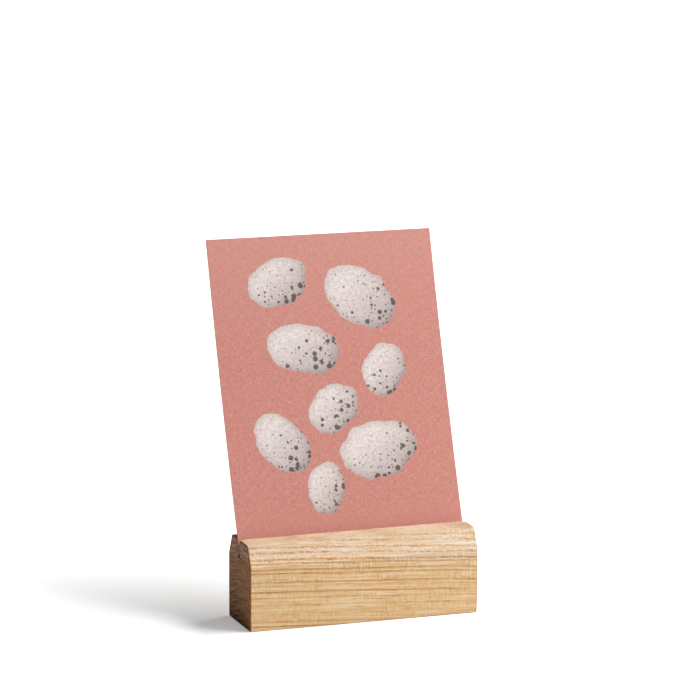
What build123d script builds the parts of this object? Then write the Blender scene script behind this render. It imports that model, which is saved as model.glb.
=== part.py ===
"""Wooden photo block: a solid wood block with a leaning slot, and a print that stands in it.

Millimetres. The origin is the middle of the block's underside: +X runs along the block to the
viewer's right, +Y runs from its front to its back, and +Z is up.
"""
import os
from math import cos, degrees, radians, sin, tan

from build123d import *

# The block
block_length = 105.6
block_depth = 30.4
block_height = 38.0
bevel_width = 4.4          # how far each long bevel runs in across the top
bevel_height = 9.0         # how far it runs down the face
edge_radius = 0.4          # sandpapered outside edges
mouth_radius = 0.2         # the slot's two top edges, only just broken

# The slot: its front wall is upright and its back wall leans, so that it narrows to its floor
slot_front_offset = 0.8    # the front wall stands this far behind the block's middle
slot_depth = 7.5
slot_lean = 24.5           # degrees from upright, the back wall and the foot of the print

# The print
card_width = 105.0
card_height = 140.0
card_thickness = 0.45
card_curl = 1.4            # the sheet's middle bows back by this much
card_tilt = 0.8            # degrees: it stands on its right corner, its left one a little up

# Fits
card_clearance = 0.1       # round the foot of the print: back wall, front wall and floor
overrun = 2.0              # cuts run this far past the faces that they open

lean = radians(slot_lean)
slot_floor_height = block_height - slot_depth

# The foot of the print is cut square. Its back corner is nearest to the floor, its front corner
# to the front wall. It lies along the back wall, so both corners follow from the clearance.
foot_rise = card_clearance * (1 - sin(lean)) / cos(lean)
slot_floor_width = (
    card_clearance
    + card_clearance * cos(lean)
    + card_thickness * cos(lean)
    - foot_rise * sin(lean)
)
slot_back_offset = slot_front_offset + slot_floor_width


def leaning_y(height):
    """Where the slot's leaning back wall stands at a height, above or below its mouth."""
    return slot_back_offset + (height - slot_floor_height) * tan(lean)


# Wood block: one length of timber, bevelled along the top, with a slot open at both ends
half_depth = block_depth / 2
bevel_foot = block_height - bevel_height
top_half = half_depth - bevel_width

with BuildPart() as wood_block:
    with BuildSketch(Plane.YZ):
        with BuildLine():
            Polyline(
                (-half_depth, 0),
                (half_depth, 0),
                (half_depth, bevel_foot),
                (top_half, block_height),
                (-top_half, block_height),
                (-half_depth, bevel_foot),
                close=True,
            )
        make_face()
    extrude(amount=block_length / 2, both=True)
    fillet(wood_block.edges(), radius=edge_radius)

    slot_top = block_height + overrun
    with BuildSketch(Plane.YZ):
        with BuildLine():
            Polyline(
                (slot_front_offset, slot_floor_height),
                (slot_back_offset, slot_floor_height),
                (leaning_y(slot_top), slot_top),
                (slot_front_offset, slot_top),
                close=True,
            )
        make_face()
    extrude(amount=block_length / 2 + overrun, both=True, mode=Mode.SUBTRACT)

    # The mouth's two long edges are the only ones along X that lie on the top within the slot
    top_face = wood_block.faces().filter_by(Axis.Z).sort_by(Axis.Z)[-1]
    mouth_edges = [
        edge
        for edge in wood_block.edges().filter_by(Axis.X)
        if abs(edge.center().Z - top_face.center().Z) < edge_radius / 2
        and abs(edge.center().Y) < top_half - edge_radius
    ]
    fillet(mouth_edges, radius=mouth_radius)

wood_block.part.label = "wood_block"

# Photo card: a stiff print, gently curled, that leans on the slot's back wall
foot_y = slot_back_offset - card_clearance * cos(lean) + foot_rise * sin(lean)
foot_z = slot_floor_height + card_clearance

# The sheet's plane at its right foot corner: x along its width, y up the sheet, z to the front.
# The tilt turns the sheet in its own plane about that corner, its left side up.
tilt = radians(card_tilt)
card_seat = Plane(
    origin=(card_width / 2, foot_y, foot_z),
    x_dir=(cos(tilt), -sin(tilt) * sin(lean), -sin(tilt) * cos(lean)),
    z_dir=(0, -cos(lean), sin(lean)),
)

# The profile is drawn from the side: x up the sheet, y to the back
card_profile = Plane(
    origin=card_seat.origin,
    x_dir=card_seat.y_dir,
    z_dir=-card_seat.x_dir,
)
curl_radius = card_height**2 / (8 * card_curl)
curl_angle = degrees(card_height / curl_radius)

with BuildPart() as photo_card:
    with BuildSketch(card_profile):
        with BuildLine():
            back_face = JernArc((0, 0), (1, 0), curl_radius, -curl_angle)
            front_face = JernArc(
                (0, -card_thickness), (1, 0), curl_radius - card_thickness, -curl_angle
            )
            Line(back_face @ 0, front_face @ 0)
            Line(back_face @ 1, front_face @ 1)
        make_face()
    extrude(amount=card_width)

photo_card.part.label = "photo_card"

os.makedirs("parts", exist_ok=True)
export_step(wood_block.part, "parts/wood_block.step")
export_step(photo_card.part, "parts/photo_card.step")

mouth_width = leaning_y(block_height) - slot_front_offset
assembly = Compound(children=[wood_block.part, photo_card.part])
print("slot floor", round(slot_floor_width, 3), "mouth", round(mouth_width, 3))
print("whole part", assembly.bounding_box())
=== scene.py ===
"""How a wooden photo block looks: a sanded ash block with a leaning slot, and its print.

Metres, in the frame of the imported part: the origin is the middle of the block's underside, +X
runs along the block to the viewer's right, +Y from its front to its back, and +Z is up. Shapes
and patterns are worked out in millimetres. Shapes turn to metres once, when meshes are made.
"""
import math

import bmesh
import bpy
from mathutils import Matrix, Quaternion, Vector, noise


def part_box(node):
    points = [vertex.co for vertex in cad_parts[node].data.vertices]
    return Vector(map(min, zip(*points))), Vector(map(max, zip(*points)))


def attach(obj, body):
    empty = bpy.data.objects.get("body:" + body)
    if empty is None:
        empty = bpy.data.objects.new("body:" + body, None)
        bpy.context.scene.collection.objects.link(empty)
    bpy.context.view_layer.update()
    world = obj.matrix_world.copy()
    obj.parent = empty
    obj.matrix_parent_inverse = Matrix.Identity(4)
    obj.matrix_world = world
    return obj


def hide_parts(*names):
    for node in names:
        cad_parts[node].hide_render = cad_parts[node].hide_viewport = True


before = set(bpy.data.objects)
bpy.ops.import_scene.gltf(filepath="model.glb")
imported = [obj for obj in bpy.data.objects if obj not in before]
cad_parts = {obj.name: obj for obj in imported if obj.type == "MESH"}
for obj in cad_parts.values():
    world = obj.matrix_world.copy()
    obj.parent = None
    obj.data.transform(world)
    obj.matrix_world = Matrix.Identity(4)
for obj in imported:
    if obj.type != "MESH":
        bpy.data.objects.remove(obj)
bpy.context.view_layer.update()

MM = 0.001


# Camera: a long lens a little to the left of the block and above it
lens_mm, sensor_mm = 334.29, 36
camera_azimuth, camera_elevation, camera_roll = -19.2467, 12.759, 0.1343
camera_distance = 2.84963
camera_aim = Vector((-0.0018175, 0, 0.1198419))


def direction(azimuth, elevation):
    """Unit vector to where something stands: azimuth 0 is the front (-Y), 90 the right (+X)."""
    a, e = math.radians(azimuth), math.radians(elevation)
    return Vector((math.sin(a) * math.cos(e), -math.cos(a) * math.cos(e), math.sin(e)))


def place(thing, azimuth, elevation, distance, aim, roll=0):
    """Stands a lamp or the camera at a direction and distance from its aim, and points it there."""
    thing.location = aim + direction(azimuth, elevation) * distance
    thing.rotation_mode = "QUATERNION"
    thing.rotation_quaternion = (
        (aim - thing.location).to_track_quat("-Z", "Y")
        @ Quaternion((0, 0, 1), math.radians(roll)))


camera = bpy.data.objects.new("camera", bpy.data.cameras.new("camera"))
camera.data.lens = lens_mm
camera.data.sensor_width = sensor_mm
camera.data.clip_start = 0.1
camera.data.clip_end = 100
place(camera, camera_azimuth, camera_elevation, camera_distance, camera_aim, camera_roll)
bpy.context.scene.collection.objects.link(camera)
bpy.context.scene.camera = camera


# Colours and nodes
def linear(hex_colour):
    """An sRGB hex colour as linear red, green, blue and alpha."""
    parts = [int(hex_colour[i : i + 2], 16) / 255 for i in (1, 3, 5)]
    return [p / 12.92 if p <= 0.04045 else ((p + 0.055) / 1.055) ** 2.4 for p in parts] + [1]


def add(tree, kind, inputs=None, **settings):
    """Adds a node with its settings, fills or links its inputs, and gives it back. A hex colour
    is made linear, and a node stands for its first output that is in use."""
    made = tree.nodes.new("ShaderNode" + kind)
    for name, value in settings.items():
        setattr(made, name, value)
    for key, value in (inputs or {}).items():
        if isinstance(value, str):
            value = linear(value)
        if isinstance(value, bpy.types.Node):
            value = next(output for output in value.outputs if output.enabled)
        if isinstance(value, bpy.types.NodeSocket):
            tree.links.new(value, made.inputs[key])
        else:
            made.inputs[key].default_value = value
    return made


def new_material(name):
    """An empty node material, and its node tree."""
    material = bpy.data.materials.new(name)
    material.use_nodes = True
    material.node_tree.nodes.clear()
    return material, material.node_tree


# The block's measures in mm, which its wood needs too
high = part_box("wood_block")[1]
half_length, half_depth, block_height = high.x / MM, high.y / MM, high.z / MM
bevel_in, bevel_down = 4.4, 9.0
bevel_slope = math.hypot(bevel_in, bevel_down)
slot_front, slot_floor_width, slot_depth, slot_lean = 0.8, 0.574, 7.5, math.radians(24.5)
slot_floor = block_height - slot_depth
slot_back = slot_front + slot_floor_width
mouth_back = slot_back + slot_depth * math.tan(slot_lean)


# Sanded ash, cut from one stick with its pith below the block and a little to the front. Its
# year rings lie nearly level, so the front and back show them as fine straight lines that sink
# to the right, the bevels and top as broken ones, and the ends as gentle arches.
pith_y, pith_z = -9.5, -50.0           # mm
ring_offset = 50.5                     # mm, so that a ring's number is its height on the front
grain_fall = 0.0615                    # mm per mm: how fast the rings sink to the right
grain_bow = 0.0001076                  # per mm: how they bow along the block
line_core, line_reach = 0.12, 0.60     # mm from a line's middle: full tone, and none
glow_core, glow_reach = 0.5, 1.5       # the same for the paler wood on both sides of a line
bark_from, bark_to = 25.0, 31.0        # mm: the wood turns paler and its lines break up
bleach_from = 5.0                      # mm right of the middle, where light starts to bleach it
faint_rays, full_rays = 12, 18         # ring heights: rays are fainter below, and clear above
top_start, top_whole = 0.5, 0.1        # mm below the top: where its own look starts, and is whole
pore_depth = 0.06                      # mm
# Darker edges, in mm: how far in they are at their darkest, and where they have faded away
foot_shade_full, foot_shade_gone = 0.15, 0.4       # painted shade along the foot edge, where the block meets the floor
edge_full, edge_gone = 0.15, 0.5       # the long faces, next to the ends
side_rim_full, side_rim_gone = 0.8, 1.8    # the ends, next to the long faces
top_rim_full, top_rim_gone = 0.5, 1.0      # the ends, below the top
rim_low, rim_high = 27, 31                 # heights between which that rim turns browner
calm_low, calm_high = (13, 20), (26, 29)   # heights where the ends' even middle fades in and out
kerf_shade_core, kerf_shade_reach, kerf_shade_squash = 0.9, 1.8, 1.9   # painted shade round the slot's floor, and how flat it is
# Where each year's open-pored early wood lies, in mm above the foot at the front's middle, and
# how strongly its line stands out at the block's left end and at its right
years = [
    (-6.0, 0.6, 0.6), (-3.4, 0.6, 0.6), (-0.9, 0.8, 0.6), (1.1, 0.7, 0.3), (3.1, 0.12, 0.12),
    (4.8, 0.25, 0.2), (6.0, 0.15, 0.25), (8.8, 0.3, 0.35), (12.0, 0.45, 0.3),
    (14.55, 1.0, 0.45), (17.4, 0.3, 0.3), (18.85, 0.72, 0.72), (22.8, 0.8, 0.75),
    (24.65, 1.0, 0.5), (27.3, 0.75, 0.65), (28.8, 0.9, 0.9), (31.5, 0.75, 0.7),
    (33.55, 0.7, 0.7), (36.2, 0.75, 0.75), (38.3, 0.6, 0.6), (40.8, 0.8, 0.8),
    (43.0, 0.7, 0.7), (45.6, 0.7, 0.7),
]


def sanded_ash(cut):
    """Ash sanded to about 180 grit and left unlacquered: a pale straw wood, matt, with orange
    brown lines of open pores. cut is "side" for the long faces, "end" for the sawn ends, whose
    open pores drink the oil and go browner, and "slot" for the sawn and unsanded slot walls."""
    material, tree = new_material({
        "side": "sanded_ash_side_grain",
        "end": "sanded_ash_end_grain",
        "slot": "sawn_ash_slot",
    }[cut])
    tones = {
        "side": dict(pale="#E8D1AA", straw="#D7AA6D", bark_pale="#E7DBC9", bark_straw="#D5AC7C",
                     line="#B86F20", pore="#B06C26", ray="#EED8B4", ray_dark="#C29052"),
        "end": dict(pale="#CE9D6C", straw="#8A6049", bark_pale="#D8B094", bark_straw="#906A58",
                    line="#74492E", pore="#64402A", ray="#D0AC7C", ray_dark="#866046"),
        "slot": dict(pale="#D4B48A", straw="#BE9768", bark_pale="#D4B48A", bark_straw="#BE9768",
                     line="#A07040", pore="#8A6038", ray="#D4B48A", ray_dark="#B08C60"),
    }[cut]
    # How clear the rays are, how soft the streaks' edges are, how bleached the right end is, how
    # strong the year lines are, and the wood's roughness and gloss
    clear, soft, most_bleached, line_share, smooth, gloss = {
        "side": (1, 0.15, 0.25, 0.95, 0.52, 0.4),
        "end": (0.45, 0.11, 0, 0.6, 0.75, 0.15),
        "slot": (0.6, 0.15, 0, 0.5, 0.8, 0.1),
    }[cut]
    where = add(tree, "TexCoord")
    mm = add(tree, "VectorMath", {0: where.outputs["Object"], 1: [1 / MM] * 3},
             operation="MULTIPLY")
    x, y, z = add(tree, "SeparateXYZ", {0: mm}).outputs

    # Distance from the pith, which tips and bows along the block
    tip = add(tree, "Math", {0: x, 1: grain_bow, 2: grain_fall}, operation="MULTIPLY_ADD")
    fallen = add(tree, "Math", {0: x, 1: tip, 2: z}, operation="MULTIPLY_ADD")
    spoke = add(tree, "CombineXYZ", {0: y, 1: fallen})
    reach = add(tree, "VectorMath", {0: spoke, 1: (pith_y, pith_z, 0)}, operation="DISTANCE")
    level = add(tree, "Math", {0: reach, 1: ring_offset}, operation="SUBTRACT")
    bark = add(tree, "MapRange", {0: level, 1: bark_from, 2: bark_to})

    # The wood's figure is noise, each with its grains' size in mm along each axis, its detail,
    # its roughness and where it starts. The rings waver in long waves along the grain, and
    # quicker ones near the bark. Rays are thin plates that stand from the pith outwards, 0.45 mm
    # along X and 3 mm high, here more of them and there fewer. The tone drifts along the stick.
    figure = {}
    for name, size, detail, roughness, start in (
        ("slow", (30, 12, 12), 1, 0.4, (0, 0, 0)),
        ("quick", (2.8, 1.3, 1.3), 1, 0.5, (11, 5, 3)),
        ("rays", (0.45, 0.5, 3.0), 1, 0.5, (1, 2, 8)),
        ("flocks", (14, 7, 5), 1, 0.5, (6, 3, 2)),
        ("drift", (45, 7, 7), 2, 0.5, (3, 8, 1)),
    ):
        at = add(tree, "Mapping", {0: mm, "Scale": [1 / s for s in size], "Location": start})
        figure[name] = add(tree, "TexNoise", {"Vector": at, "Scale": 1, "Detail": detail,
                                              "Roughness": roughness})
    quick = add(tree, "Math", {0: figure["quick"], 1: 0.5}, operation="SUBTRACT")
    quick_reach = add(tree, "MapRange", {0: bark, 3: 0.25, 4: 0.95})
    waves = add(tree, "Math", {0: quick, 1: quick_reach, 2: figure["slow"]},
                operation="MULTIPLY_ADD")
    height = add(tree, "Math", {0: level, 1: waves})
    height = add(tree, "Math", {0: height, 1: 0.5}, operation="SUBTRACT")

    # Streaks, breaks, beads and pores run along the rings. On the ends, which cut across them,
    # streaks and pores are drawn longer from front to back. Real pore channels are 0.2 mm wide,
    # too fine to show here, so they are drawn 0.35 mm wide and 4.5 mm long.
    along = add(tree, "CombineXYZ", {0: x, 1: y, 2: height})
    for name, size, detail, roughness, start in (
        ("streaks", (20, 8 if cut == "end" else 1.0, 0.55), 2, 0.6, (0, 0, 0)),
        ("breaks", (9, 1.6, 1.0), 2, 0.5, (2, 9, 4)),
        ("beads", (1.5, 1.2, 1.2), 1, 0.5, (5, 4, 9)),
        ("pores", (4.5, 3 if cut == "end" else 0.5, 0.35), 1, 0.5, (7, 1, 6)),
    ):
        at = add(tree, "Mapping", {0: along, "Scale": [1 / s for s in size], "Location": start})
        figure[name] = add(tree, "TexNoise", {"Vector": at, "Scale": 1, "Detail": detail,
                                              "Roughness": roughness})

    # The lines of open pores, one a year, each with paler dense wood beside it
    on_scale = add(tree, "CombineXYZ", {0: height})
    lines, glows = 0.0, 0.0
    for h, left, right in years:
        dark = add(tree, "MapRange", {0: x, 1: -half_length, 2: half_length, 3: left, 4: right})
        gap = add(tree, "VectorMath", {0: on_scale, 1: (h, 0, 0)}, operation="DISTANCE")
        line = add(tree, "MapRange", {0: gap, 1: line_core, 2: line_reach, 3: dark, 4: 0},
                   interpolation_type="SMOOTHSTEP")
        glow = add(tree, "MapRange", {0: gap, 1: glow_core, 2: glow_reach, 3: dark, 4: 0})
        lines = add(tree, "Math", {0: lines, 1: line}, operation="MAXIMUM")
        glows = add(tree, "Math", {0: glows, 1: glow}, operation="MAXIMUM")

    # Towards the bark the lines break up into strings of beads, and on the level top the rings
    # are cut so slantwise that their lines spread out and fade
    weakest = add(tree, "MapRange", {0: bark, 3: 0.7, 4: 0.45})
    faintest = add(tree, "MapRange", {0: bark, 3: 0.8, 4: 0.4})
    on_top = add(tree, "MapRange", {0: z, 1: block_height - top_start,
                                      2: block_height - top_whole})
    for fade in (
        add(tree, "MapRange", {0: figure["breaks"], 1: 0.36, 2: 0.56, 3: weakest, 4: 1}),
        add(tree, "MapRange", {0: figure["beads"], 1: 0.40, 2: 0.56, 3: faintest, 4: 1}),
        add(tree, "MapRange", {0: on_top, 3: 1, 4: 0.7}),
    ):
        lines = add(tree, "Math", {0: lines, 1: fade}, operation="MULTIPLY")

    # Rays come in flocks, are fainter low down and on sawn wood, and show pale or dark. Pores are
    # few in the late wood and many in the early wood.
    flocks = add(tree, "MapRange", {0: figure["flocks"], 1: 0.42, 2: 0.60, 3: 0.2, 4: 1})
    risen = add(tree, "MapRange", {0: height, 1: faint_rays, 2: full_rays,
                                   3: 0.7 * clear, 4: clear})
    flocks = add(tree, "Math", {0: flocks, 1: risen}, operation="MULTIPLY")
    light_rays = add(tree, "MapRange", {0: figure["rays"], 1: 0.54, 2: 0.68, 3: 0, 4: 0.60})
    dark_rays = add(tree, "MapRange", {0: figure["rays"], 1: 0.46, 2: 0.34, 3: 0, 4: 0.56})
    needed = add(tree, "MapRange", {0: lines, 3: 0.62, 4: 0.50})
    over = add(tree, "Math", {0: figure["pores"], 1: needed}, operation="SUBTRACT")
    pores = add(tree, "MapRange", {0: over, 1: 0, 2: 0.08})

    # The colour, laid down from the ground tones to the pores. The right end's pale wood near the
    # bark is bleached by light.
    tone = add(tree, "MapRange", {0: figure["streaks"], 1: 0.5 - soft, 2: 0.5 + soft})
    heart = add(tree, "Mix", {0: tone, 6: tones["straw"], 7: tones["pale"]}, data_type="RGBA")
    rind = add(tree, "Mix", {0: tone, 6: tones["bark_straw"], 7: tones["bark_pale"]},
               data_type="RGBA")
    palest = add(tree, "Mix", {0: bark, 6: tones["pale"], 7: tones["bark_pale"]},
                 data_type="RGBA")
    wood = add(tree, "Mix", {0: bark, 6: heart, 7: rind}, data_type="RGBA")
    bleached = add(tree, "MapRange", {0: x, 1: bleach_from, 2: half_length,
                                      3: 0, 4: most_bleached})
    for share, colour in (
        (add(tree, "Math", {0: bleached, 1: bark}, operation="MULTIPLY"), "#F0E8DC"),
        (add(tree, "MapRange", {0: figure["drift"], 1: 0.35, 2: 0.65, 3: 0, 4: 0.3}),
         tones["straw"]),
        (add(tree, "Math", {0: glows, 1: 0.18}, operation="MULTIPLY"), palest),
        (add(tree, "Math", {0: light_rays, 1: flocks}, operation="MULTIPLY"), tones["ray"]),
        (add(tree, "Math", {0: dark_rays, 1: flocks}, operation="MULTIPLY"), tones["ray_dark"]),
        (add(tree, "Math", {0: lines, 1: line_share}, operation="MULTIPLY"), tones["line"]),
        (add(tree, "Math", {0: pores, 1: 0.4}, operation="MULTIPLY"), tones["pore"]),
    ):
        wood = add(tree, "Mix", {0: share, 6: wood, 7: colour}, data_type="RGBA")

    # The top is a little greyer. Painted shade darkens a fine line along the foot, where the block
    # meets the floor, and oil darkens a fine line next to the long faces' ends.
    if cut == "side":
        wood = add(tree, "Mix", {0: on_top, 6: wood, 7: "#F2F2EF"}, data_type="RGBA",
                   blend_type="MULTIPLY")
        from_middle = add(tree, "Math", {0: x}, operation="ABSOLUTE")
        for share, colour in (
            # Painted shade along the foot, where the block meets the floor
            (add(tree, "MapRange", {0: z, 1: foot_shade_full, 2: foot_shade_gone, 3: 0.8, 4: 0}), "#8F6238"),
            (add(tree, "MapRange", {0: from_middle, 1: half_length - edge_gone,
                                    2: half_length - edge_full, 3: 0, 4: 0.8}), "#B26C2A"),
        ):
            wood = add(tree, "Mix", {0: share, 6: wood, 7: colour}, data_type="RGBA")

    # The ends' upper middle took the oil evenly, which calms its streaks. Round them runs a brown
    # rim, soaked in more or less from streak to streak, and browner high up.
    if cut == "end":
        calm = add(tree, "Math", {
            0: add(tree, "MapRange", {0: z, 1: calm_low[0], 2: calm_low[1], 3: 0, 4: 0.28}),
            1: add(tree, "MapRange", {0: z, 1: calm_high[0], 2: calm_high[1], 3: 1, 4: 0}),
        }, operation="MULTIPLY")
        wood = add(tree, "Mix", {0: calm, 6: wood, 7: "#A47D60"}, data_type="RGBA")
        from_middle = add(tree, "Math", {0: y}, operation="ABSOLUTE")
        from_face = add(tree, "Math", {0: half_depth, 1: from_middle}, operation="SUBTRACT")
        from_top = add(tree, "Math", {0: block_height, 1: z}, operation="SUBTRACT")
        from_corner = add(tree, "CombineXYZ", {0: from_face, 1: from_top})
        across_bevel = (bevel_down / bevel_slope, bevel_in / bevel_slope, 0)
        from_bevel = add(tree, "VectorMath", {0: from_corner, 1: across_bevel},
                         operation="DOT_PRODUCT")
        from_bevel = add(tree, "Math", {0: from_bevel, 1: bevel_in * bevel_down / bevel_slope},
                         operation="SUBTRACT")
        from_side = add(tree, "Math", {0: from_face, 1: from_bevel}, operation="MINIMUM")
        rim = add(tree, "Math", {
            0: add(tree, "MapRange", {0: from_side, 1: side_rim_full, 2: side_rim_gone,
                                      3: 0.95, 4: 0}),
            1: add(tree, "MapRange", {0: from_top, 1: top_rim_full, 2: top_rim_gone,
                                      3: 0.9, 4: 0}),
        }, operation="MAXIMUM")
        soaked = add(tree, "MapRange", {0: figure["streaks"], 1: 0.35, 2: 0.65, 3: 1, 4: 0.75})
        rim = add(tree, "Math", {0: rim, 1: soaked}, operation="MULTIPLY")
        high_up = add(tree, "MapRange", {0: z, 1: rim_low, 2: rim_high})
        rim_tone = add(tree, "Mix", {0: high_up, 6: "#A66626", 7: "#82441A"}, data_type="RGBA")
        wood = add(tree, "Mix", {0: rim, 6: wood, 7: rim_tone}, data_type="RGBA")

    # Painted shade: a dark flat spot round the slot's floor, where shade gathers deep in the slot
    if cut != "side":
        flat = add(tree, "CombineXYZ", {0: y, 1: z})
        off = add(tree, "VectorMath", {0: flat, 1: ((slot_front + slot_back) / 2, slot_floor, 0)},
                  operation="SUBTRACT")
        off = add(tree, "VectorMath", {0: off, 1: (1, kerf_shade_squash, 0)}, operation="MULTIPLY")
        off = add(tree, "VectorMath", {0: off}, operation="LENGTH")
        kerf_shade = add(tree, "MapRange", {0: off, 1: kerf_shade_core, 2: kerf_shade_reach, 3: 1, 4: 0})
        wood = add(tree, "Mix", {0: kerf_shade, 6: wood, 7: "#3E2614"}, data_type="RGBA")

    # Pores are open channels and fibres stand up a little: a relief of a few hundredths of a mm
    relief = add(tree, "Math", {0: figure["streaks"], 1: 0.35, 2: figure["pores"]},
                 operation="MULTIPLY_ADD")
    relief = add(tree, "Math", {0: relief, 1: pores}, operation="SUBTRACT")
    bump = add(tree, "Bump", {"Strength": 0.3, "Distance": pore_depth * MM, "Height": relief})
    shader = add(tree, "BsdfPrincipled", {
        "Base Color": wood, "Roughness": add(tree, "MapRange", {0: pores, 3: smooth, 4: 0.85}),
        "Normal": bump, "IOR": 1.5, "Specular IOR Level": gloss,
    })
    add(tree, "OutputMaterial", {"Surface": shader})
    return material


# The block: one outline, with its corners eased by hand, carried along the stick
corners = [
    ("foot", -half_depth, 0), ("foot", half_depth, 0),
    ("bevel_foot", half_depth, block_height - bevel_down),
    ("back_shoulder", half_depth - bevel_in, block_height),
    ("mouth_back", mouth_back, block_height), ("kerf", slot_back, slot_floor),
    ("kerf", slot_front, slot_floor), ("mouth_front", slot_front, block_height),
    ("shoulder", -half_depth + bevel_in, block_height),
    ("bevel_foot", -half_depth, block_height - bevel_down),
]
# Radii in mm: along the block, and round its ends
long_ease = {"foot": 0.5, "bevel_foot": 0.6, "shoulder": 0.6, "back_shoulder": 0.15,
             "mouth_back": 0.3, "mouth_front": 0.25, "kerf": 0.03}
end_ease = {"foot": 0.35, "bevel_foot": 0.08, "shoulder": 0.1, "back_shoulder": 0.08,
            "mouth_back": 0.08, "mouth_front": 0.08, "kerf": 0.03}
plain_ease, ease_fade = 0.08, 4.0      # round the ends away from a corner, and how soon that is
worn_end = 3.0                         # the right end is this much more rounded than the left
# Sandpaper takes more off a corner where it meets an end: how much more, and over what length
end_wear = {"mouth_front": 2.0, "shoulder": 2.0}
wear_length = 4.0
unevenness, uneven_run = 0.14, 9.0     # share of a corner's radius, and over how many mm
corner_steps, end_steps, straight_lengths = 6, 4, 60
end_band = 0.6                         # mm at each end, left to its easing
longest_run = 1.6                      # mm between points round the outline
sharp_angle = math.radians(40)         # faces that meet at more than this keep a crisp edge


def outline(x, cuts=None):
    """The block's outline at one place along it, as points, each with its outward direction and
    the radius that eases it into the end. Sanding by hand leaves the corners not quite even. cuts
    says into how many runs each stretch between two points is divided."""
    places = [Vector(c[1:]) for c in corners]
    points = []
    for i, (kind, *_) in enumerate(corners):
        before = (places[i] - places[i - 1]).normalized()
        after = (places[(i + 1) % len(places)] - places[i]).normalized()
        out_before = Vector((before.y, -before.x))
        bend = math.atan2(before.x * after.y - before.y * after.x, before.dot(after))
        uneven = 1 + unevenness * noise.noise(Vector((x / uneven_run, i * 7.3, 0.5)))
        near_end = max(0, 1 - (half_length - abs(x)) / wear_length)
        ease = long_ease[kind] * uneven + end_wear.get(kind, 0) * near_end ** 2
        toward = math.copysign(ease, bend)
        centre = places[i] - before * ease * abs(math.tan(bend / 2)) - out_before * toward
        for k in range(corner_steps + 1):
            turn = bend * k / corner_steps
            out = Vector((out_before.x * math.cos(turn) - out_before.y * math.sin(turn),
                          out_before.x * math.sin(turn) + out_before.y * math.cos(turn)))
            points.append((centre + out * toward, out, end_ease[kind]))
    if cuts is None:
        return points
    full = []
    for (at, out, ease), (to, _, ease_to), runs in zip(points, points[1:] + points[:1], cuts):
        for k in range(runs):
            here = at.lerp(to, k / runs)
            gone, left = (here - at).length, (to - here).length
            nearness = max(0, 1 - min(gone, left) / ease_fade) ** 2
            corner_ease = ease if gone <= left else ease_to
            full.append((here, out, plain_ease + (corner_ease - plain_ease) * nearness))
    return full


first = outline(0)
cuts = [max(1, round((b[0] - a[0]).length / longest_run))
        for a, b in zip(first, first[1:] + first[:1])]


def stations():
    """Places along the block: where, which way is inwards from there and by what share of the
    end's easing (0 in the middle), and how far round that easing."""
    quarter = math.pi / 2
    left = [(-half_length, 1, quarter * k / end_steps) for k in range(end_steps + 1)]
    right = [(-x, -worn_end, swing) for x, way, swing in reversed(left)]
    reach = half_length - end_band
    return left + [(-reach + 2 * reach * k / straight_lengths, 0, quarter)
                   for k in range(straight_lengths + 1)] + right


def mesh_object(name, mesh_maker, materials):
    """An object whose mesh is filled by mesh_maker, with its materials in order."""
    shape = bmesh.new()
    mesh_maker(shape)
    data = bpy.data.meshes.new(name)
    shape.to_mesh(data)
    shape.free()
    for material in materials:
        data.materials.append(material)
    made = bpy.data.objects.new(name, data)
    bpy.context.scene.collection.objects.link(made)
    return made


SIDE, END, SLOT = 0, 1, 2


def block_mesh(shape):
    """Joins the outlines along the block with faces, and closes both ends."""
    rings = []
    for x, way, swing in stations():
        ring = []
        for at, out, ease in outline(x, cuts):
            drawn = at - out * ease * abs(way) * (1 - math.sin(swing))
            ring.append(shape.verts.new(Vector(
                (x + way * ease * (1 - math.cos(swing)), drawn.x, drawn.y)) * MM))
        rings.append(ring)
    # Points on the slot's walls and floor, below the eased corners of its mouth
    in_slot = [slot_front - 0.6 < at.x < mouth_back and slot_floor - 1 < at.y < block_height - 0.3
               for at, _, _ in outline(0, cuts)]

    def face(ring, kind):
        made = shape.faces.new(ring)
        made.smooth = True
        made.material_index = kind

    for s, (a, b) in enumerate(zip(rings, rings[1:])):
        at_end = s < 1 or s >= len(rings) - 2
        for i in range(len(a)):
            j = (i + 1) % len(a)
            kind = END if at_end else SLOT if in_slot[i] and in_slot[j] else SIDE
            face((a[i], a[j], b[j], b[i]), kind)
    face(rings[0], END)
    face(rings[-1], END)
    bmesh.ops.recalc_face_normals(shape, faces=shape.faces)


block = mesh_object("ash_block", block_mesh,
                    [sanded_ash("side"), sanded_ash("end"), sanded_ash("slot")])
block.data.set_sharp_from_angle(angle=sharp_angle)
weighted = block.modifiers.new("even_shading", "WEIGHTED_NORMAL")
weighted.keep_sharp = True
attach(block, "block")
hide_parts("wood_block")


# The print: a sheet that leans in the slot, a little curled and a little tipped
sheet_width, sheet_height, sheet_thickness = 105.0, 140.0, 0.45
sheet_curl, sheet_tip = 1.4, math.radians(0.8)
clearance = 0.1                        # mm between the sheet and the slot's floor and back wall
foot_rise = clearance * (1 - math.sin(slot_lean)) / math.cos(slot_lean)
foot = Vector((
    sheet_width / 2,
    slot_back - clearance * math.cos(slot_lean) + foot_rise * math.sin(slot_lean),
    slot_floor + clearance,
))
along = Vector((math.cos(sheet_tip), -math.sin(sheet_tip) * math.sin(slot_lean),
                -math.sin(sheet_tip) * math.cos(slot_lean)))
facing = Vector((0, -math.cos(slot_lean), math.sin(slot_lean)))
upward = facing.cross(along)
curl_radius = sheet_height**2 / (8 * sheet_curl)


def sheet_point(across, up, depth):
    """A point of the sheet: across from its right edge, up its face, and depth into it from its
    back (0) to its front (the thickness)."""
    turn = up / curl_radius
    radius = curl_radius - depth
    rise, back = radius * math.sin(turn), radius * math.cos(turn) - curl_radius
    return foot + upward * rise - facing * back - along * across


FRONT, BACK, CUT = 0, 1, 2


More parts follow.
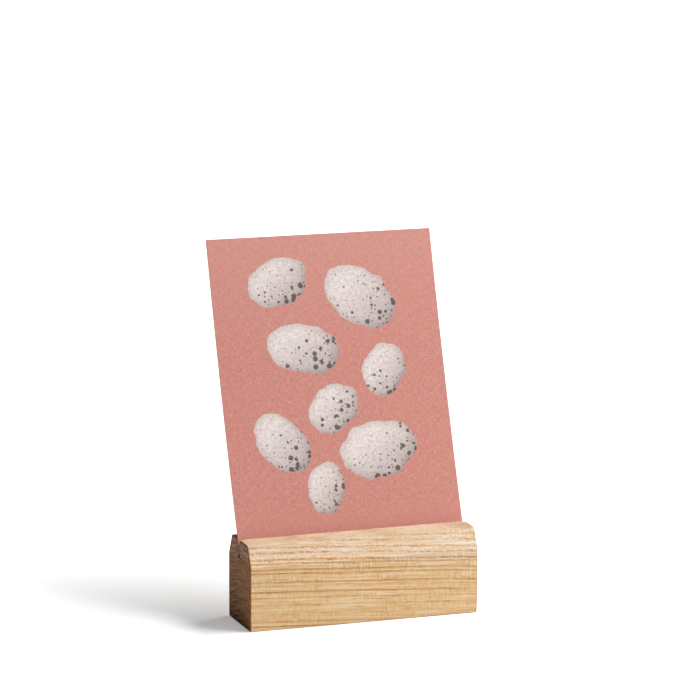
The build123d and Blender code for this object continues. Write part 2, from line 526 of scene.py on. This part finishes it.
def sheet_mesh(shape):
    """The curved sheet, with each point's place on the flat sheet in mm as its UV mark."""
    marks = shape.loops.layers.uv.new("sheet_mm")
    columns, rows = 70, 94             # of 1.5 mm
    place_of = {}

    def layer(depth):
        grid = []
        for r in range(rows + 1):
            line = []
            for c in range(columns + 1):
                across, up = sheet_width * c / columns, sheet_height * r / rows
                vertex = shape.verts.new(sheet_point(across, up, depth) * MM)
                place_of[vertex] = (sheet_width / 2 - across, up)
                line.append(vertex)
            grid.append(line)
        return grid

    def face(corners, kind):
        made = shape.faces.new(corners)
        made.smooth = True
        made.material_index = kind
        for loop in made.loops:
            loop[marks].uv = place_of[loop.vert]

    back, front = layer(0), layer(sheet_thickness)
    for r in range(rows):
        for c in range(columns):
            face((front[r][c], front[r + 1][c], front[r + 1][c + 1], front[r][c + 1]), FRONT)
            face((back[r][c], back[r][c + 1], back[r + 1][c + 1], back[r + 1][c]), BACK)
    for r in range(rows):
        for c in (0, columns):
            face((front[r][c], front[r + 1][c], back[r + 1][c], back[r][c]), CUT)
    for c in range(columns):
        for r in (0, rows):
            face((front[r][c], front[r][c + 1], back[r][c + 1], back[r][c]), CUT)
    bmesh.ops.recalc_face_normals(shape, faces=shape.faces)


# The printed picture: speckled pebbles, scattered. Each is where it lies on the sheet (mm from
# its middle and from its foot), its half length and half width, and how it is turned.
pebbles = [
    (-21.0, 119.0, 14.5, 10.5, 24), (16.5, 111.0, 18.0, 12.5, -38), (-12.5, 89.0, 17.0, 11.5, -12),
    (24.0, 77.5, 12.5, 9.5, 62), (-1.5, 61.5, 13.0, 10.0, 35), (-27.0, 47.0, 15.0, 10.5, -50),
    (17.5, 42.0, 18.5, 12.5, 14), (-9.0, 26.0, 12.0, 8.5, 78),
]
# Painted shade on the sheet's two foot corners, where they stand in shade low in the slot: mm up
# the sheet and from its middle
slot_shade_tone = "#50342A"
shaded_up_to, unshaded_up_from = 3.1, 3.7
unshaded_out_to, shaded_out_from = 51.0, 51.4
back_shaded_to, back_unshaded_from = 33.4, 34.0   # the back and cut edges: mm above the floor
shape_wander = 5.0                     # mm between the farthest ways that a pebble's edge strays


def printed_card():
    """Uncoated art card printed matt: a dusty pink ground with the paper's mottle showing through
    the ink, off-white pebbles and charcoal specks. Nothing on it shines; a sheen towards its top is
    painted into the ground, and painted light lifts the ground just above the block."""
    material, tree = new_material("uncoated_card_printed")
    sheet = add(tree, "UVMap", uv_map="sheet_mm")
    across, up, _ = add(tree, "SeparateXYZ", {0: sheet}).outputs

    # Ink on uncoated card lies unevenly: over a grain of 0.5 mm, flecks that lean to pink or to
    # brown, the felt's marks across and up the sheet, and clouds of 3.5 mm
    mottle = {}
    for name, size, detail, roughness, start in (
        ("tooth", (0.5, 0.6, 1), 2, 0.7, (0, 0, 0)),
        ("flecks", (0.65, 0.85, 1), 1, 0.5, (3, 7, 0)),
        ("across_marks", (2.0, 0.55, 1), 1, 0.5, (9, 2, 0)),
        ("up_marks", (0.55, 2.0, 1), 1, 0.5, (2, 9, 0)),
        ("clouds", (3.5, 3.5, 1), 2, 0.5, (0, 0, 0)),
        ("wander", (9, 9, 9), 2, 0.5, (0, 0, 0)),
        ("stone_grain", (1.4, 1.4, 1.4), 4, 0.65, (0, 0, 0)),
        ("speck_wander", (0.9, 0.9, 0.9), 2, 0.5, (0, 0, 0)),
    ):
        at = add(tree, "Mapping", {0: sheet, "Scale": [1 / s for s in size], "Location": start})
        mottle[name] = add(tree, "TexNoise", {"Vector": at, "Scale": 1, "Detail": detail,
                                              "Roughness": roughness})
    tooth = add(tree, "MapRange", {0: mottle["tooth"], 1: 0.30, 2: 0.70})
    ground = add(tree, "Mix", {0: tooth, 6: "#BA7369", 7: "#D79486"}, data_type="RGBA")
    for value, start, end, most, colour in (
        (mottle["flecks"], 0.50, 0.68, 0.75, "#CC8088"),
        (mottle["flecks"], 0.50, 0.32, 0.75, "#C48A68"),
        (mottle["across_marks"], 0.50, 0.70, 0.35, "#DC9C8C"),
        (mottle["across_marks"], 0.50, 0.32, 0.35, "#B06A60"),
        (mottle["up_marks"], 0.50, 0.70, 0.35, "#DC9C8C"),
        (mottle["up_marks"], 0.50, 0.32, 0.35, "#B06A60"),
        (mottle["clouds"], 0.42, 0.62, 0.2, "#BE776C"),
        # Painted sheen: the ground turns paler towards the top, as if it caught a soft reflection
        (up, 85, 145, 0.3, "#DAA193"),
        # Painted light: the ground turns paler just above the block, lifting the shade that falls
        # there
        (up, 20, 8.5, 0.25, "#E19485"),
    ):
        share = add(tree, "MapRange", {0: value, 1: start, 2: end, 3: 0, 4: most})
        ground = add(tree, "Mix", {0: share, 6: ground, 7: colour}, data_type="RGBA")

    # Edges of the shapes wander by a millimetre or two, as pebbles aren't true ovals
    shift = add(tree, "VectorMath", {0: mottle["wander"].outputs["Color"], 1: (0.5, 0.5, 0.5)},
                operation="SUBTRACT")
    shift = add(tree, "VectorMath", {0: shift, "Scale": shape_wander}, operation="SCALE")
    bent = add(tree, "VectorMath", {0: sheet, 1: shift})
    nearest, lit = 10.0, 0.0
    for x, y, long, wide, turned in pebbles:
        local = add(tree, "Mapping", {0: bent, "Location": (x, y, 0),
                                      "Rotation": (0, 0, math.radians(turned)),
                                      "Scale": (long, wide, 1)}, vector_type="TEXTURE")
        local = add(tree, "VectorMath", {0: local, 1: (1, 1, 0)}, operation="MULTIPLY")
        from_middle = add(tree, "VectorMath", {0: local}, operation="LENGTH")
        side = math.radians(135 - turned)
        to_light = add(tree, "VectorMath", {0: local, 1: (math.cos(side), math.sin(side), 0)},
                       operation="DOT_PRODUCT")
        inside = add(tree, "Math", {0: from_middle, 1: 1.0}, operation="LESS_THAN")
        own = add(tree, "Math", {0: to_light, 1: inside}, operation="MULTIPLY")
        lit = add(tree, "Math", {0: lit, 1: own})
        nearest = add(tree, "Math", {0: nearest, 1: from_middle}, operation="MINIMUM")
    on_pebble = add(tree, "MapRange", {0: nearest, 1: 1.012, 2: 0.985})

    stone_tone = add(tree, "MapRange", {0: mottle["stone_grain"], 1: 0.34, 2: 0.66})
    stone = add(tree, "Mix", {0: stone_tone, 6: "#CFC0BC", 7: "#EEE2DE"}, data_type="RGBA")
    shade = add(tree, "MapRange", {0: lit, 1: -1.0, 2: 0.5, 3: 0.62, 4: 0})
    rim = add(tree, "MapRange", {0: nearest, 1: 0.72, 2: 1.0, 3: 0, 4: 0.30})
    darkened = add(tree, "Math", {0: shade, 1: rim})

    # Specks: large ones gather on the shaded side, small ones are everywhere
    speck_at = add(tree, "VectorMath", {0: mottle["speck_wander"].outputs["Color"], "Scale": 1.1},
                   operation="SCALE")
    speck_at = add(tree, "VectorMath", {0: sheet, 1: speck_at})
    specks = 0.0
    for spacing, biggest, gather in ((3.3, 0.46, 0.30), (1.7, 0.36, 0.16)):
        cells = add(tree, "TexVoronoi", {"Vector": speck_at, "Scale": 1 / spacing},
                    voronoi_dimensions="2D")
        chance = add(tree, "SeparateColor", {0: cells.outputs["Color"]})
        leaning = add(tree, "MapRange", {0: lit, 1: 0.6, 2: -0.8, 3: -gather, 4: gather})
        size = add(tree, "Math", {0: chance, 1: leaning})
        size = add(tree, "MapRange", {0: size, 1: 0.45, 2: 1.2, 3: 0, 4: biggest})
        over = add(tree, "Math", {0: size, 1: cells.outputs["Distance"]}, operation="SUBTRACT")
        spot = add(tree, "MapRange", {0: over, 1: 0, 2: 0.08})
        specks = add(tree, "Math", {0: specks, 1: spot}, operation="MAXIMUM")
    speck_share = add(tree, "Math", {0: specks, 1: 0.9}, operation="MULTIPLY")
    for share, colour in ((darkened, "#9A8580"), (speck_share, "#4B4140")):
        stone = add(tree, "Mix", {0: share, 6: stone, 7: colour}, data_type="RGBA")

    picture = add(tree, "Mix", {0: on_pebble, 6: ground, 7: stone}, data_type="RGBA")
    to_side = add(tree, "Math", {0: across}, operation="ABSOLUTE")
    # Painted shade on the two foot corners, low in the slot where shade falls
    slot_shade_share = add(tree, "Math", {
        0: add(tree, "MapRange", {0: to_side, 1: unshaded_out_to, 2: shaded_out_from}),
        1: add(tree, "MapRange", {0: up, 1: shaded_up_to, 2: unshaded_up_from, 3: 0.9, 4: 0}),
    }, operation="MULTIPLY")
    picture = add(tree, "Mix", {0: slot_shade_share, 6: picture, 7: slot_shade_tone}, data_type="RGBA")

    bump = add(tree, "Bump", {"Strength": 0.2, "Distance": 0.03 * MM, "Height": mottle["tooth"]})
    shader = add(tree, "BsdfPrincipled", {
        "Base Color": picture, "Roughness": 0.5, "Normal": bump, "IOR": 1.5,
        "Specular IOR Level": 0.35,
    })
    add(tree, "OutputMaterial", {"Surface": shader})
    return material


def bare_card(name, dark, light, fibre_mm, slot_shade_colour):
    """The same card where nothing is printed: off-white pulp with short pale fibres, quite matt.
    Its last argument is its colour low in the slot: painted shade, where the slot shades it."""
    material, tree = new_material(name)
    where = add(tree, "TexCoord")
    mm = add(tree, "VectorMath", {0: where.outputs["Object"], 1: [1 / MM] * 3},
             operation="MULTIPLY")
    height = add(tree, "SeparateXYZ", {0: mm}).outputs[2]
    pulp = add(tree, "TexNoise", {"Vector": mm, "Scale": 1 / fibre_mm, "Detail": 3,
                                  "Roughness": 0.6})
    clouds = add(tree, "TexNoise", {"Vector": mm, "Scale": 1 / 6, "Detail": 2})
    mottle = add(tree, "Math", {0: pulp, 1: clouds})
    mottle = add(tree, "MapRange", {0: mottle, 1: 0.74, 2: 1.26})
    # Painted shade low in the slot, where shade falls on the back and the cut edges
    slot_shade_share = add(tree, "MapRange", {0: height, 1: back_shaded_to, 2: back_unshaded_from,
                                    3: 0.9, 4: 0})
    colour = add(tree, "Mix", {0: mottle, 6: dark, 7: light}, data_type="RGBA")
    colour = add(tree, "Mix", {0: slot_shade_share, 6: colour, 7: slot_shade_colour}, data_type="RGBA")
    bump = add(tree, "Bump", {"Strength": 0.25, "Distance": 0.04 * MM, "Height": pulp})
    shader = add(tree, "BsdfPrincipled", {
        "Base Color": colour, "Roughness": 0.92, "Normal": bump, "IOR": 1.5,
        "Specular IOR Level": 0.2,
    })
    add(tree, "OutputMaterial", {"Surface": shader})
    return material


card = mesh_object("printed_card", sheet_mesh, [
    printed_card(),
    bare_card("uncoated_card_back", "#D9D2C6", "#E6E0D6", 0.6, "#D0C4B2"),
    bare_card("uncoated_card_cut_edge", "#C58A7E", "#D3A295", 0.3, slot_shade_tone),
])
card.data.set_sharp_from_angle(angle=sharp_angle)
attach(card, "card")
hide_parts("photo_card")


# Floor: matt white paper, which keeps the block's shadow. The camera sees it a little brighter,
# so that it is white where nothing shades it.
floor_white = "#FBFBFB"
near_lift, far_lift = 0.342, 1.0       # added strength by the block, and well away from it
near_reach, far_reach = 0.25, 0.9      # metres from the block
floor_reach, floor_sides = 12.0, 64


def studio_floor():
    """Matt white paper, with a little light added for the camera alone."""
    material, tree = new_material("white_paper_floor")
    path = add(tree, "LightPath")
    paper = add(tree, "BsdfDiffuse", {"Color": floor_white})
    where = add(tree, "TexCoord")
    away = add(tree, "VectorMath", {0: where.outputs["Object"]}, operation="LENGTH")
    lift_here = add(tree, "MapRange", {0: away, 1: near_reach, 2: far_reach,
                                       3: near_lift, 4: far_lift},
                    interpolation_type="SMOOTHSTEP")
    seen = add(tree, "Math", {0: path.outputs["Is Camera Ray"], 1: lift_here},
               operation="MULTIPLY")
    lift = add(tree, "Emission", {"Color": "#FFFFFF", "Strength": seen})
    both = add(tree, "AddShader", {0: paper, 1: lift})
    add(tree, "OutputMaterial", {"Surface": both})
    return material


def floor_mesh(shape):
    """One round face, so wide that the camera never sees its rim."""
    ring = [Vector((math.cos(a), math.sin(a), 0)) * floor_reach
            for a in (math.tau * k / floor_sides for k in range(floor_sides))]
    shape.faces.new([shape.verts.new(p) for p in ring])


floor = mesh_object("studio_floor", floor_mesh, [studio_floor()])


# Lamps: azimuth and elevation, distance, width and height in metres, and power in watts
lamp_aim = Vector((0, 0, 0.05))
lamps = {
    "key_right": (80, 54, 1.9, 1.65, 0.70, 52.4),
    "front_right": (30, 16, 1.4, 1.5, 0.8, 5.65),
}
for name, (azimuth, elevation, distance, width, tall, power) in lamps.items():
    lamp = bpy.data.lights.new(name, "AREA")
    lamp.shape = "RECTANGLE"
    lamp.size, lamp.size_y = width, tall
    lamp.energy = power
    stand = bpy.data.objects.new(name, lamp)
    place(stand, azimuth, elevation, distance, lamp_aim)
    bpy.context.scene.collection.objects.link(stand)

# Weak light from all round, which the camera sees as a white backdrop
world = bpy.data.worlds.new("studio")
bpy.context.scene.world = world
world.use_nodes = True
world.node_tree.nodes.clear()
room_light = 0.031
path = add(world.node_tree, "LightPath")
strength = add(world.node_tree, "MapRange", {0: path.outputs["Is Camera Ray"], 3: room_light,
                                             4: 1.0})
sky = add(world.node_tree, "Background", {"Color": "#FFFFFF", "Strength": strength})
add(world.node_tree, "OutputWorld", {"Surface": sky})

bpy.context.scene.view_settings.view_transform = "Standard"
